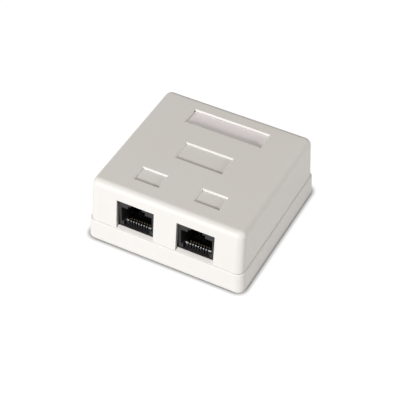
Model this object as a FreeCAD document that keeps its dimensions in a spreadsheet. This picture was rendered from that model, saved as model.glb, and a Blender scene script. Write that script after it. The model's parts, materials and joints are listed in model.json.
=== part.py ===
import FreeCAD, Part
import math
import operator
import os
from types import SimpleNamespace

import Sketcher
from FreeCAD import Vector

# A two-port surface mount jack box for structured cabling. A shallow base is fixed to the wall,
# a drafted cover snaps over it, and a circuit board in the base carries two modular jacks
# at the front with a punch-down block behind each.
# Frame: millimetres, origin at the centre of the underside, +Z up, the sockets face -Y.

os.makedirs("parts", exist_ok=True)
doc = FreeCAD.newDocument("jack_box")

dimensions = {
    # base
    "baseWidth": 61.3,
    "baseDepth": 60.4,
    "baseDraft": 2.5,
    "baseWall": 2.0,
    "floorThick": 2.0,
    "seamHeight": 8.1,
    "rimBevel": 0.4,
    # cover
    "coverStepX": 0.85,
    "coverStepY": 0.7,
    "totalHeight": 26.0,
    "sideDraft": 1.4,
    "frontDraft": 4.6,
    "coverWall": 1.35,
    "cornerRound": 2.8,
    "topRound": 2.6,
    "seamBevel": 0.2,
    # socket openings in the cover's front
    "portSpacing": 23.3,
    "portWidth": 14.5,
    "portHeight": 11.65,
    "portSill": 1.1,
    # shallow fields in the top
    "fieldDepth": 0.6,
    "fieldBevel": 0.4,
    "centreFieldWidth": 18.2,
    "centreFieldLength": 8.3,
    "portFieldWidth": 9.4,
    "portFieldLength": 6.2,
    "portFieldSetback": 12.1,
    # label pocket, card and window
    "labelWidth": 30.2,
    "labelLength": 7.6,
    "labelSetback": 11.35,
    "labelDepth": 1.9,
    "labelBevel": 0.2,
    "labelFloor": 1.2,
    "labelFit": 0.15,
    "cardThick": 0.2,
    "windowThick": 0.8,
    "windowBevel": 0.25,
    # snap tabs and catches
    "tabWidth": 9.0,
    "tabSpacing": 26.0,
    "tabThick": 1.3,
    "tabRise": 5.3,
    "noseRise": 3.2,
    "noseHeight": 1.6,
    "noseDepth": 0.7,
    "catchDepth": 0.35,
    "catchHeight": 0.8,
    "catchLength": 7.0,
    "snapGap": 0.1,
    # circuit board
    "boardWidth": 39.4,
    "boardThick": 1.6,
    "boardRound": 1.0,
    "boardGap": 0.7,
    "cableRoom": 10.0,
    # modular jack housings
    "jackRecess": 0.72,
    "jackSlack": 0.25,
    "jackRoof": 0.5,
    "jackDepth": 17.5,
    "jackFloor": 1.3,
    "mouthWidth": 12.0,
    "mouthHeight": 6.6,
    "mouthRise": 2.0,
    "mouthDepth": 13.0,
    "latchStepWidth": 6.7,
    "latchStepHeight": 1.3,
    "latchSlotWidth": 4.4,
    "troughWidth": 10.2,
    "troughSill": 1.35,
    "pegSpacing": 12.2,
    "pegDiameter": 1.9,
    "pegLength": 2.3,
    "pegSetback": 8.5,
    "combSlot": 0.6,
    "combDepth": 1.5,
    "combRise": 5.6,
    # contact carriers
    "carrierLength": 14.0,
    "carrierFit": 0.05,
    "toothRise": 1.9,
    "toothThick": 0.85,
    "toothBevel": 0.3,
    "toothBevelRise": 0.4,
    "channelWidth": 0.5,
    "channelHeight": 0.95,
    # contact wires
    "wirePitch": 1.016,
    "wireWidth": 0.4,
    "wireThick": 0.35,
    "wireLift": 0.6,
    "wireBend": 1.15,
    "wireSetback": 1.25,
    "armAngle": 14.0,
    "armEnd": 13.4,
    "heelBevel": 0.6,
    "pinRowGap": 2.54,
    "pinInset": 1.3,
    "pinLength": 1.3,
    "pinHole": 0.9,
    # punch-down blocks
    "blockWidth": 15.8,
    "blockLength": 13.0,
    "blockHeight": 10.6,
    "blockInset": 5.6,
    "blockPitch": 3.7,
    "blockRowGap": 7.2,
    "blockValleyWidth": 2.4,
    "blockValleyDepth": 3.4,
    "wireSlotWidth": 1.1,
    "wireSlotDepth": 5.6,
    "wireSlotLead": 0.5,
    "blockBevel": 0.7,
    "slitFit": 0.1,
    # punch-down terminals
    "terminalWidth": 2.6,
    "terminalThick": 0.5,
    "terminalHeight": 9.2,
    "terminalSlot": 0.4,
    "terminalSlotDepth": 4.6,
    "terminalLead": 0.6,
    "terminalPin": 0.6,
    # board fixings
    "bossDiameter": 5.4,
    "boreDiameter": 2.1,
    "boreFloor": 0.4,
    "postDiameter": 3.6,
    "postInset": 2.6,
    "screwCore": 2.0,
    "screwHole": 2.7,
    "screwHead": 5.0,
    "screwHeadHeight": 1.7,
    "screwLength": 5.0,
    "screwCross": 2.8,
    "screwCrossWidth": 0.8,
    "screwCrossDepth": 0.9,
    "frontScrewSetback": 15.0,
    "rearScrewInset": 3.2,
    # wall fixing slots, cable entry and cable ties
    "wallSlotWidth": 4.0,
    "wallSlotLength": 6.4,
    "wallHeadWidth": 7.2,
    "wallHeadDepth": 0.6,
    "wallHeadGap": 0.1,
    "entryWidth": 22.0,
    "entryLength": 7.0,
    "entryGap": 1.3,
    "tieSpacing": 33.0,
    "tieWidth": 6.0,
    "tieLength": 3.0,
    "tieHeight": 4.2,
    "tieTunnelWidth": 3.6,
    "tieTunnelHeight": 2.2,
    # cable knock-out through the rear seam
    "knockoutWidth": 10.0,
    "knockoutRise": 3.2,
    "knockoutDrop": 3.4,
    "knockoutWeb": 0.5,
    # ribs under the cover that hold the jacks down
    "holdRibThick": 1.0,
    "holdRibLength": 11.0,
    "holdRibSpacing": 8.0,
    "holdRibGap": 0.3,
    "holdRibSetback": 3.0,
}

sheet = doc.addObject("Spreadsheet::Sheet", "sizes")
for row, (alias, number) in enumerate(dimensions.items(), 1):
    sheet.set("A%d" % row, alias)
    sheet.set("B%d" % row, str(number))
    sheet.setAlias("B%d" % row, alias)
doc.recompute()


# ---- sizes that keep their formula ----

class Size:
    # a number together with the spreadsheet formula that gives it
    def __init__(self, value, formula):
        self.value = value
        self.formula = formula

    def __add__(self, other):
        return combine(self, "+", other)

    def __radd__(self, other):
        return combine(other, "+", self)

    def __sub__(self, other):
        return combine(self, "-", other)

    def __rsub__(self, other):
        return combine(other, "-", self)

    def __mul__(self, other):
        return combine(self, "*", other)

    def __rmul__(self, other):
        return combine(other, "*", self)

    def __truediv__(self, other):
        return combine(self, "/", other)

    def __neg__(self):
        return combine(0, "-", self)


arithmetic = {"+": operator.add, "-": operator.sub, "*": operator.mul, "/": operator.truediv}


def asSize(quantity):
    return quantity if isinstance(quantity, Size) else Size(float(quantity), repr(quantity))


def combine(left, sign, right):
    left = asSize(left)
    right = asSize(right)
    value = arithmetic[sign](left.value, right.value)
    return Size(value, "(%s %s %s)" % (left.formula, sign, right.formula))


def ofAngle(name, degrees):
    # tan, sin or cos of an angle kept in degrees
    degrees = asSize(degrees)
    value = getattr(math, name)(math.radians(degrees.value))
    return Size(value, "%s(%s * 1 deg)" % (name, degrees.formula))


mm = SimpleNamespace(**{alias: Size(number, "sizes." + alias) for alias, number in dimensions.items()})


# ---- places that several pieces share ----

def coverInside(half, draft, height):
    # distance from the centre to a leaning cover wall's inner face, at a height
    return half - (height - mm.seamHeight) * ofAngle("tan", draft) - mm.coverWall / ofAngle("cos", draft)


coverWidth = mm.baseWidth - 2 * mm.coverStepX
coverDepth = mm.baseDepth - 2 * mm.coverStepY
portBottom = mm.seamHeight + mm.portSill
portTop = portBottom + mm.portHeight
ceiling = mm.totalHeight - mm.coverWall
boardTop = portBottom - mm.jackFloor
boardBottom = boardTop - mm.boardThick
jackFront = mm.jackRecess - coverDepth / 2 + (portTop - mm.seamHeight) * ofAngle("tan", mm.frontDraft)
jackTop = portTop - mm.jackSlack
jackHalfWidth = mm.portWidth / 2 - mm.jackSlack
baseInsideX = mm.baseWidth / 2 - mm.seamHeight * ofAngle("tan", mm.baseDraft) - mm.baseWall
baseInsideY = mm.baseDepth / 2 - mm.seamHeight * ofAngle("tan", mm.baseDraft) - mm.baseWall
boardFront = mm.boardGap - baseInsideY
boardRear = baseInsideY - mm.cableRoom
carrierFront = jackFront + mm.troughSill
pinRowRear = carrierFront + mm.carrierLength - mm.pinInset
pinRowFront = pinRowRear - mm.pinRowGap
blockMiddle = boardRear - mm.blockInset - mm.blockLength / 2
noseFloor = mm.seamHeight + mm.noseRise
noseTip = coverInside(coverWidth / 2, mm.sideDraft, noseFloor) - mm.catchDepth - mm.snapGap
tabFace = noseTip - mm.noseDepth
frontScrewY = jackFront + mm.frontScrewSetback
rearScrewY = boardRear - mm.rearScrewInset
labelY = coverDepth / 2 - mm.labelSetback
labelPocketFloor = mm.totalHeight - mm.labelDepth
wallRoot = mm.coverWall / 2
entryMiddle = boardRear + mm.entryGap + mm.entryLength / 2
wallHeadLength = mm.wallSlotLength - mm.wallSlotWidth + mm.wallHeadWidth
wallSlotX = baseInsideX - mm.wallHeadGap - wallHeadLength / 2
sides = {"left": -1, "right": 1}
contactCount = 8
blockColumns = 4


def portX(side):
    return sides[side] * mm.portSpacing / 2


# ---- document helpers ----

pieces = []
cutOver = 1.0


def bind(thing, prop, quantity):
    thing.setExpression(prop, asSize(quantity).formula)


def newBody(name, x=0):
    body = doc.addObject("PartDesign::Body", name)
    body.Label = name
    bind(body, "Placement.Base.x", x)
    pieces.append(body)
    return body


def newSketch(body, role, offset=0):
    sketch = body.newObject("Sketcher::SketchObject", "Sketch")
    plane = next(item for item in body.Origin.OriginFeatures if item.Role == role)
    sketch.AttachmentSupport = [(plane, "")]
    sketch.MapMode = "FlatFace"
    bind(sketch, "AttachmentOffset.Base.z", offset)
    return sketch


def limit(sketch, kind, curve, point, quantity):
    quantity = asSize(quantity)
    if point is None:
        index = sketch.addConstraint(Sketcher.Constraint(kind, curve, quantity.value))
    else:
        index = sketch.addConstraint(Sketcher.Constraint(kind, curve, point, quantity.value))
    sketch.setExpression("Constraints[%d]" % index, quantity.formula)


def fixPoint(sketch, curve, point, place):
    limit(sketch, "DistanceX", curve, point, place[0])
    limit(sketch, "DistanceY", curve, point, place[1])


def flat(place):
    return Vector(asSize(place[0]).value, asSize(place[1]).value, 0)


def polygon(sketch, places):
    first = sketch.GeometryCount
    count = len(places)
    for index, place in enumerate(places):
        following = places[(index + 1) % count]
        sketch.addGeometry(Part.LineSegment(flat(place), flat(following)), False)
    for index, place in enumerate(places):
        following = first + (index + 1) % count
        sketch.addConstraint(Sketcher.Constraint("Coincident", first + index, 2, following, 1))
        fixPoint(sketch, first + index, 1, place)


def rectangle(sketch, x0, y0, x1, y1):
    polygon(sketch, [(x0, y0), (x1, y0), (x1, y1), (x0, y1)])


def centredRectangle(sketch, x, y, width, length):
    rectangle(sketch, x - width / 2, y - length / 2, x + width / 2, y + length / 2)


def circle(sketch, x, y, diameter):
    radius = asSize(diameter) / 2
    curve = sketch.addGeometry(Part.Circle(flat((x, y)), Vector(0, 0, 1), radius.value), False)
    fixPoint(sketch, curve, 3, (x, y))
    limit(sketch, "Radius", curve, None, radius)


def arcBetween(sketch, start, end, centre, radius):
    # the shorter arc from start to end; gives back the curve and its points for both ends
    middle = flat(centre)
    first = flat(start) - middle
    last = flat(end) - middle
    turnsLeft = first.cross(last).z > 0
    low, high = (first, last) if turnsLeft else (last, first)
    fullCircle = Part.Circle(middle, Vector(0, 0, 1), asSize(radius).value)
    arc = Part.ArcOfCircle(fullCircle, math.atan2(low.y, low.x), math.atan2(high.y, high.x))
    curve = sketch.addGeometry(arc, False)
    limit(sketch, "Radius", curve, None, radius)
    return (curve, 1, 2) if turnsLeft else (curve, 2, 1)


def run(sketch, start, steps):
    # a closed run of lines and arcs that ends where it starts: each step is (end,) or (end, centre, radius)
    here = start
    curves = []
    for step in steps:
        if len(step) == 1:
            curves.append((sketch.addGeometry(Part.LineSegment(flat(here), flat(step[0])), False), 1, 2))
        else:
            curves.append(arcBetween(sketch, here, *step))
        here = step[0]
    for (curve, head, tail), (following, nextHead, nextTail), step in zip(curves, curves[1:] + curves[:1], steps):
        sketch.addConstraint(Sketcher.Constraint("Coincident", curve, tail, following, nextHead))
        fixPoint(sketch, curve, tail, step[0])


def stadium(sketch, x, y, length, width, upright=False):
    # a round-ended slot centred at x, y
    radius = width / 2
    reach = (length - width) / 2
    alongX, alongY = (0, reach) if upright else (reach, 0)
    ends = [(x + alongX, y + alongY), (x - alongX, y - alongY)]
    turn = math.pi / 2 if upright else 0
    curves = []
    for end, half in zip(ends, (0, 1)):
        begin = turn - math.pi / 2 + half * math.pi
        fullCircle = Part.Circle(flat(end), Vector(0, 0, 1), radius.value)
        curve = sketch.addGeometry(Part.ArcOfCircle(fullCircle, begin, begin + math.pi), False)
        fixPoint(sketch, curve, 3, end)
        curves.append(curve)
    corners = [(arc, point) for arc in curves for point in (1, 2)]
    geometry = [sketch.getPoint(*corner) for corner in corners]
    for tail, head in ((1, 2), (3, 0)):
        line = sketch.addGeometry(Part.LineSegment(geometry[tail], geometry[head]), False)
        sketch.addConstraint(Sketcher.Constraint("Tangent", corners[tail][0], corners[tail][1], line, 1))
        sketch.addConstraint(Sketcher.Constraint("Tangent", line, 2, corners[head][0], corners[head][1]))
    limit(sketch, "Radius", curves[0], None, radius)


def settle(feature, before):
    # recompute, and stop at a feature that changes nothing
    doc.recompute()
    if abs(feature.Shape.Volume - before) < 1e-6:
        raise RuntimeError("%s of %s changes nothing" % (feature.Name, feature.getParent().Label))
    return feature


def volumeOf(body):
    return body.Tip.Shape.Volume if body.Tip and not body.Tip.Shape.isNull() else 0.0


def newFeature(body, kind):
    return body.newObject("PartDesign::" + kind, kind)


def extrude(kind, sketch, length, reverse=False):
    # a Pad follows the sketch plane's normal and a Pocket goes against it, unless reversed
    body = sketch.getParent()
    before = volumeOf(body)
    feature = newFeature(body, kind)
    feature.Profile = sketch
    feature.Reversed = reverse
    bind(feature, "Length", length)
    return settle(feature, before)


def repeat(feature, role, count, pitch):
    body = feature.getParent()
    before = volumeOf(body)
    pattern = newFeature(body, "LinearPattern")
    pattern.Originals = [feature]
    axis = next(item for item in body.Origin.OriginFeatures if item.Role == role)
    pattern.Direction = (axis, [""])
    pattern.Occurrences = count
    bind(pattern, "Length", pitch * (count - 1))
    body.Tip = pattern
    return settle(pattern, before)


def mirror(feature, role):
    body = feature.getParent()
    before = volumeOf(body)
    mirrored = newFeature(body, "Mirrored")
    mirrored.Originals = [feature]
    plane = next(item for item in body.Origin.OriginFeatures if item.Role == role)
    mirrored.MirrorPlane = (plane, [""])
    body.Tip = mirrored
    return settle(mirrored, before)


def normalOf(face):
    u0, u1, v0, v1 = face.ParameterRange
    return face.normalAt((u0 + u1) / 2, (v0 + v1) / 2)


def facesOf(feature, wanted):
    return ["Face%d" % (i + 1) for i, face in enumerate(feature.Shape.Faces) if wanted(face)]


def edgesOf(feature, wanted):
    return ["Edge%d" % (i + 1) for i, edge in enumerate(feature.Shape.Edges) if wanted(edge)]


def dress(kind, feature, names, prop, quantity):
    body = feature.getParent()
    before = volumeOf(body)
    dressed = newFeature(body, kind)
    dressed.Base = (feature, names)
    bind(dressed, prop, quantity)
    return settle(dressed, before)


def lean(feature, names, angle):
    # draft about the lower face, so that the walls lean inwards as they rise
    body = feature.getParent()
    before = volumeOf(body)
    draft = newFeature(body, "Draft")
    draft.Base = (feature, names)
    draft.NeutralPlane = (feature, facesOf(feature, lambda face: normalOf(face).z < -0.9))
    bind(draft, "Angle", angle)
    return settle(draft, before)


def upright(edge, span):
    return edge.BoundBox.ZLength > span.value * 0.9


def atHeight(edge, height):
    return abs(edge.BoundBox.ZMin - height.value) < 1e-3 and abs(edge.BoundBox.ZMax - height.value) < 1e-3


# ---- case ----

def trayCorner(edge):
    # one of the four upright edges of the tray's hollow
    box = edge.BoundBox
    return (upright(edge, mm.seamHeight - mm.floorThick)
            and abs(abs(box.Center.x) - baseInsideX.value) < 1e-3
            and abs(abs(box.Center.y) - baseInsideY.value) < 1e-3)


def makeBase():
    body = newBody("base")
    plan = newSketch(body, "XY_Plane")
    centredRectangle(plan, 0, 0, mm.baseWidth, mm.baseDepth)
    block = extrude("Pad", plan, mm.seamHeight)
    block = lean(block, facesOf(block, lambda face: abs(normalOf(face).z) < 0.5), mm.baseDraft)
    corners = edgesOf(block, lambda edge: upright(edge, mm.seamHeight))
    block = dress("Fillet", block, corners, "Radius", mm.cornerRound)
    rim = edgesOf(block, lambda edge: atHeight(edge, mm.seamHeight))
    dress("Chamfer", block, rim, "Size", mm.rimBevel)

    hollow = newSketch(body, "XY_Plane", mm.seamHeight)
    rectangle(hollow, -baseInsideX, -baseInsideY, baseInsideX, baseInsideY)
    tray = extrude("Pocket", hollow, mm.seamHeight - mm.floorThick)
    dress("Fillet", tray, edgesOf(tray, trayCorner), "Radius", mm.cornerRound - mm.baseWall / 2)

    bosses = newSketch(body, "XY_Plane", mm.floorThick)
    for y in (frontScrewY, rearScrewY):
        circle(bosses, 0, y, mm.bossDiameter)
    for sign in sides.values():
        for y in (boardFront + mm.postInset, boardRear - mm.postInset):
            circle(bosses, sign * (mm.boardWidth / 2 - mm.postInset), y, mm.postDiameter)
    extrude("Pad", bosses, boardBottom - mm.floorThick)
    bores = newSketch(body, "XY_Plane", boardBottom)
    for y in (frontScrewY, rearScrewY):
        circle(bores, 0, y, mm.boreDiameter)
    extrude("Pocket", bores, boardBottom - mm.floorThick - mm.boreFloor)

    tabs = newSketch(body, "XZ_Plane", (mm.tabWidth - mm.tabSpacing) / 2)
    for sign in sides.values():
        back = sign * (tabFace - mm.tabThick)
        face = sign * tabFace
        tip = sign * noseTip
        tabTop = mm.seamHeight + mm.tabRise
        polygon(tabs, [(back, mm.floorThick / 2), (face, mm.floorThick / 2), (face, noseFloor),
                       (tip, noseFloor), (face, noseFloor + mm.noseHeight), (face, tabTop), (back, tabTop)])
    mirror(extrude("Pad", tabs, mm.tabWidth, True), "XZ_Plane")

    ties = newSketch(body, "XY_Plane", mm.floorThick)
    for sign in sides.values():
        centredRectangle(ties, sign * mm.tieSpacing / 2, entryMiddle, mm.tieWidth, mm.tieLength)
    extrude("Pad", ties, mm.tieHeight)
    tunnels = newSketch(body, "XZ_Plane", cutOver + mm.tieLength / 2 - entryMiddle)
    for sign in sides.values():
        x = sign * mm.tieSpacing / 2
        rectangle(tunnels, x - mm.tieTunnelWidth / 2, mm.floorThick,
                  x + mm.tieTunnelWidth / 2, mm.floorThick + mm.tieTunnelHeight)
    extrude("Pocket", tunnels, mm.tieLength + 2 * cutOver)

    heads = newSketch(body, "XY_Plane", mm.floorThick)
    slots = newSketch(body, "XY_Plane", mm.floorThick)
    for sign in sides.values():
        stadium(heads, sign * wallSlotX, asSize(0), wallHeadLength, mm.wallHeadWidth)
        stadium(slots, sign * wallSlotX, asSize(0), mm.wallSlotLength, mm.wallSlotWidth)
    extrude("Pocket", heads, mm.wallHeadDepth)
    stadium(slots, asSize(0), entryMiddle, mm.entryWidth, mm.entryLength)
    extrude("Pocket", slots, mm.floorThick + cutOver)

    knockout = newSketch(body, "XZ_Plane", -baseInsideY + cutOver)
    rectangle(knockout, -mm.knockoutWidth / 2, mm.seamHeight - mm.knockoutDrop,
              mm.knockoutWidth / 2, mm.seamHeight + cutOver)
    extrude("Pocket", knockout, cutOver + mm.baseWall - mm.knockoutWeb)


def outerRim(edge):
    # an edge where the cover's outside meets its underside
    box = edge.BoundBox
    reachX = max(-box.XMin, box.XMax)
    reachY = max(-box.YMin, box.YMax)
    outside = reachX > (coverWidth / 2 - wallRoot).value or reachY > (coverDepth / 2 - wallRoot).value
    return outside and atHeight(edge, mm.seamHeight)


def recessRim(edge):
    # an edge round a recess in the top, inside the flat that the rounded crown leaves
    box = edge.BoundBox
    inside = max(-box.YMin, box.YMax) < (labelY + mm.labelLength / 2).value + 1e-3
    return inside and edge.Length < mm.labelWidth.value + 1e-3 and atHeight(edge, mm.totalHeight)


def fieldRim(edge):
    return recessRim(edge) and edge.BoundBox.YMax < (labelY - mm.labelLength / 2 - mm.labelBevel).value - 1e-3


def makeCover():
    body = newBody("cover")
    plan = newSketch(body, "XY_Plane", mm.seamHeight)
    centredRectangle(plan, 0, 0, coverWidth, coverDepth)
    block = extrude("Pad", plan, mm.totalHeight - mm.seamHeight)
    block = lean(block, facesOf(block, lambda face: abs(normalOf(face).x) > 0.9), mm.sideDraft)
    block = lean(block, facesOf(block, lambda face: abs(normalOf(face).y) > 0.9), mm.frontDraft)
    corners = edgesOf(block, lambda edge: upright(edge, mm.totalHeight - mm.seamHeight))
    block = dress("Fillet", block, corners, "Radius", mm.cornerRound)
    crown = edgesOf(block, lambda edge: atHeight(edge, mm.totalHeight))
    block = dress("Fillet", block, crown, "Radius", mm.topRound)
    underside = facesOf(block, lambda face: normalOf(face).z < -0.9)
    shell = newFeature(body, "Thickness")
    shell.Base = (block, underside)
    shell.Reversed = True
    bind(shell, "Value", mm.coverWall)
    settle(shell, block.Shape.Volume)
    dress("Chamfer", shell, edgesOf(shell, outerRim), "Size", mm.seamBevel)

    seat = newSketch(body, "XY_Plane", labelPocketFloor - mm.labelFloor)
    centredRectangle(seat, 0, labelY, mm.labelWidth + 2 * mm.coverWall, mm.labelLength + 2 * mm.coverWall)
    extrude("Pad", seat, mm.labelFloor + mm.labelDepth - wallRoot)
    label = newSketch(body, "XY_Plane", mm.totalHeight)
    centredRectangle(label, 0, labelY, mm.labelWidth, mm.labelLength)
    recess = extrude("Pocket", label, mm.labelDepth)
    dress("Chamfer", recess, edgesOf(recess, recessRim), "Size", mm.labelBevel)
    fields = newSketch(body, "XY_Plane", mm.totalHeight)
    centredRectangle(fields, 0, 0, mm.centreFieldWidth, mm.centreFieldLength)
    for side in sides:
        centredRectangle(fields, portX(side), mm.portFieldSetback - coverDepth / 2,
                         mm.portFieldWidth, mm.portFieldLength)
    recess = extrude("Pocket", fields, mm.fieldDepth)
    dress("Chamfer", recess, edgesOf(recess, fieldRim), "Size", mm.fieldBevel)

    ports = newSketch(body, "XZ_Plane", coverDepth / 2 + cutOver)
    for side in sides:
        x = portX(side)
        rectangle(ports, x - mm.portWidth / 2, portBottom, x + mm.portWidth / 2, portTop)
    extrude("Pocket", ports, coverDepth / 2 + jackFront + mm.coverWall + 2 * cutOver)

    catches = newSketch(body, "XZ_Plane", (mm.catchLength - mm.tabSpacing) / 2)
    catchTop = noseFloor - mm.snapGap
    for sign in sides.values():
        tip = sign * (noseTip + mm.snapGap)
        root = sign * (noseTip + mm.snapGap + mm.catchDepth + wallRoot)
        polygon(catches, [(root, catchTop - mm.catchHeight), (tip, catchTop - mm.catchHeight),
                          (tip, catchTop), (root, catchTop)])
    mirror(extrude("Pad", catches, mm.catchLength, True), "XZ_Plane")

    ribs = newSketch(body, "XY_Plane", jackTop + mm.holdRibGap)
    ribFront = jackFront + mm.holdRibSetback
    for side in sides:
        for sign in sides.values():
            x = portX(side) + sign * mm.holdRibSpacing / 2
            rectangle(ribs, x - mm.holdRibThick / 2, ribFront, x + mm.holdRibThick / 2, ribFront + mm.holdRibLength)
    extrude("Pad", ribs, ceiling - jackTop - mm.holdRibGap + wallRoot)

    knockoutTop = mm.seamHeight + mm.knockoutRise + mm.knockoutWidth / 2
    webInside = coverInside(coverDepth / 2, mm.frontDraft, knockoutTop)
    knockout = newSketch(body, "XZ_Plane", cutOver - webInside)
    stadium(knockout, asSize(0), mm.seamHeight, 2 * (knockoutTop - mm.seamHeight), mm.knockoutWidth, True)
    extrude("Pocket", knockout, cutOver + mm.coverWall - mm.knockoutWeb)


def makeLabel():
    card = doc.addObject("Part::Box", "label_card")
    card.Label = "label_card"
    bind(card, "Length", mm.labelWidth - 2 * mm.labelFit)
    bind(card, "Width", mm.labelLength - 2 * mm.labelFit)
    bind(card, "Height", mm.cardThick)
    bind(card, "Placement.Base.x", mm.labelFit - mm.labelWidth / 2)
    bind(card, "Placement.Base.y", labelY + mm.labelFit - mm.labelLength / 2)
    bind(card, "Placement.Base.z", labelPocketFloor)
    pieces.append(card)

    body = newBody("label_window")
    plan = newSketch(body, "XY_Plane", labelPocketFloor + mm.cardThick)
    centredRectangle(plan, 0, labelY, mm.labelWidth - 2 * mm.labelFit, mm.labelLength - 2 * mm.labelFit)
    plate = extrude("Pad", plan, mm.windowThick)
    windowTop = labelPocketFloor + mm.cardThick + mm.windowThick
    dress("Chamfer", plate, edgesOf(plate, lambda edge: atHeight(edge, windowTop)), "Size", mm.windowBevel)


# ---- circuit board and its screws ----

def contactX(index):
    return (index - (contactCount - 1) / 2) * mm.wirePitch


def terminalX(column):
    return (column - (blockColumns - 1) / 2) * mm.blockPitch


def makeBoard():
    body = newBody("circuit_board")
    plan = newSketch(body, "XY_Plane", boardBottom)
    rectangle(plan, -mm.boardWidth / 2, boardFront, mm.boardWidth / 2, boardRear)
    plate = extrude("Pad", plan, mm.boardThick)
    dress("Fillet", plate, edgesOf(plate, lambda edge: upright(edge, mm.boardThick)), "Radius", mm.boardRound)

    screws = newSketch(body, "XY_Plane", boardTop)
    for y in (frontScrewY, rearScrewY):
        circle(screws, 0, y, mm.screwHole)
    extrude("Pocket", screws, mm.boardThick + cutOver)

    left = newSketch(body, "XY_Plane", boardTop)
    for index in range(contactCount):
        centredRectangle(left, portX("left") + contactX(index), pinRow(index), mm.pinHole, mm.pinHole)
    for column in range(blockColumns):
        for y in (blockMiddle - mm.blockRowGap / 2, blockMiddle + mm.blockRowGap / 2):
            centredRectangle(left, portX("left") + terminalX(column), y, mm.pinHole, mm.pinHole)
    for sign in sides.values():
        x = portX("left") + sign * mm.pegSpacing / 2
        circle(left, x, jackFront + mm.pegSetback, mm.pegDiameter + 2 * mm.slitFit)
    repeat(extrude("Pocket", left, mm.boardThick + cutOver), "X_Axis", 2, mm.portSpacing)


def makeScrew(name, y):
    body = newBody(name)
    bind(body, "Placement.Base.y", y)
    profile = newSketch(body, "XZ_Plane")
    headTop = boardTop + mm.screwHeadHeight
    tip = boardTop - mm.screwLength
    polygon(profile, [(0, tip), (mm.screwCore / 2, tip + mm.screwCore / 2),
                      (mm.screwCore / 2, boardTop), (mm.screwHead / 2, boardTop),
                      (mm.screwHead / 2, headTop - mm.screwHeadHeight / 2),
                      (mm.screwHead / 4, headTop), (0, headTop)])
    turned = newFeature(body, "Revolution")
    turned.Profile = profile
    turned.ReferenceAxis = (profile, ["V_Axis"])
    turned.Angle = 360
    settle(turned, 0.0)
    cross = newSketch(body, "XY_Plane", headTop)
    arm = mm.screwCross / 2
    half = mm.screwCrossWidth / 2
    polygon(cross, [(-arm, -half), (-half, -half), (-half, -arm), (half, -arm), (half, -half), (arm, -half),
                    (arm, half), (half, half), (half, arm), (-half, arm), (-half, half), (-arm, half)])
    extrude("Pocket", cross, mm.screwCrossDepth)


# ---- modular jacks ----

def pinRow(index):
    # the solder pins stand in two staggered rows
    return pinRowRear if index % 2 else pinRowFront


def makeJackHousing(side):
    body = newBody(side + "_jack_housing", portX(side))
    outline = newSketch(body, "XZ_Plane", -jackFront)
    rectangle(outline, -jackHalfWidth, boardTop, jackHalfWidth, jackTop)
    extrude("Pad", outline, mm.jackDepth, True)

    mouth = newSketch(body, "XZ_Plane", -jackFront)
    railTop = portBottom + mm.mouthRise
    mouthTop = railTop + mm.mouthHeight
    stepTop = mouthTop + mm.latchStepHeight
    slotTop = jackTop - mm.jackRoof
    halves = [(mm.troughWidth / 2, portBottom), (mm.troughWidth / 2, railTop), (mm.mouthWidth / 2, railTop),
              (mm.mouthWidth / 2, mouthTop), (mm.latchStepWidth / 2, mouthTop), (mm.latchStepWidth / 2, stepTop),
              (mm.latchSlotWidth / 2, stepTop), (mm.latchSlotWidth / 2, slotTop)]
    polygon(mouth, halves + [(-x, z) for x, z in reversed(halves)])
    extrude("Pocket", mouth, mm.mouthDepth)

    carrierSeat = newSketch(body, "XY_Plane", boardTop)
    rectangle(carrierSeat, -mm.troughWidth / 2, carrierFront - mm.carrierFit,
              mm.troughWidth / 2, carrierFront + mm.carrierLength + mm.carrierFit)
    extrude("Pocket", carrierSeat, mm.jackFloor, True)

    comb = newSketch(body, "XZ_Plane", -jackFront - mm.mouthDepth + cutOver)
    x = contactX(0)
    rectangle(comb, x - mm.combSlot / 2, portBottom, x + mm.combSlot / 2, portBottom + mm.combRise)
    repeat(extrude("Pocket", comb, mm.combDepth + cutOver), "X_Axis", contactCount, mm.wirePitch)

    pegs = newSketch(body, "XY_Plane", boardTop)
    for sign in sides.values():
        circle(pegs, sign * mm.pegSpacing / 2, jackFront + mm.pegSetback, mm.pegDiameter)
    extrude("Pad", pegs, mm.pegLength, True)


def makeCarrier(side):
    body = newBody(side + "_contact_carrier", portX(side))
    halfWidth = mm.troughWidth / 2 - mm.carrierFit
    profile = newSketch(body, "YZ_Plane", -halfWidth)
    toothBack = carrierFront + mm.toothThick
    toothTop = portBottom + mm.toothRise
    rear = carrierFront + mm.carrierLength
    polygon(profile, [(carrierFront, boardTop), (rear, boardTop), (rear, portBottom), (toothBack, portBottom),
                      (toothBack, toothTop), (carrierFront + mm.toothBevel, toothTop),
                      (carrierFront, toothTop - mm.toothBevelRise)])
    extrude("Pad", profile, 2 * halfWidth)

    x = contactX(0)
    gap = newSketch(body, "XY_Plane", toothTop)
    rectangle(gap, x - mm.channelWidth / 2, carrierFront - cutOver,
              x + mm.channelWidth / 2, toothBack + mm.wireSetback)
    repeat(extrude("Pocket", gap, toothTop - boardTop + cutOver), "X_Axis", contactCount, mm.wirePitch)
    channel = newSketch(body, "XY_Plane", boardTop)
    rectangle(channel, x - mm.channelWidth / 2, carrierFront, x + mm.channelWidth / 2,
              pinRowRear + mm.channelWidth / 2)
    repeat(extrude("Pocket", channel, mm.channelHeight, True), "X_Axis", contactCount, mm.wirePitch)


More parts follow.
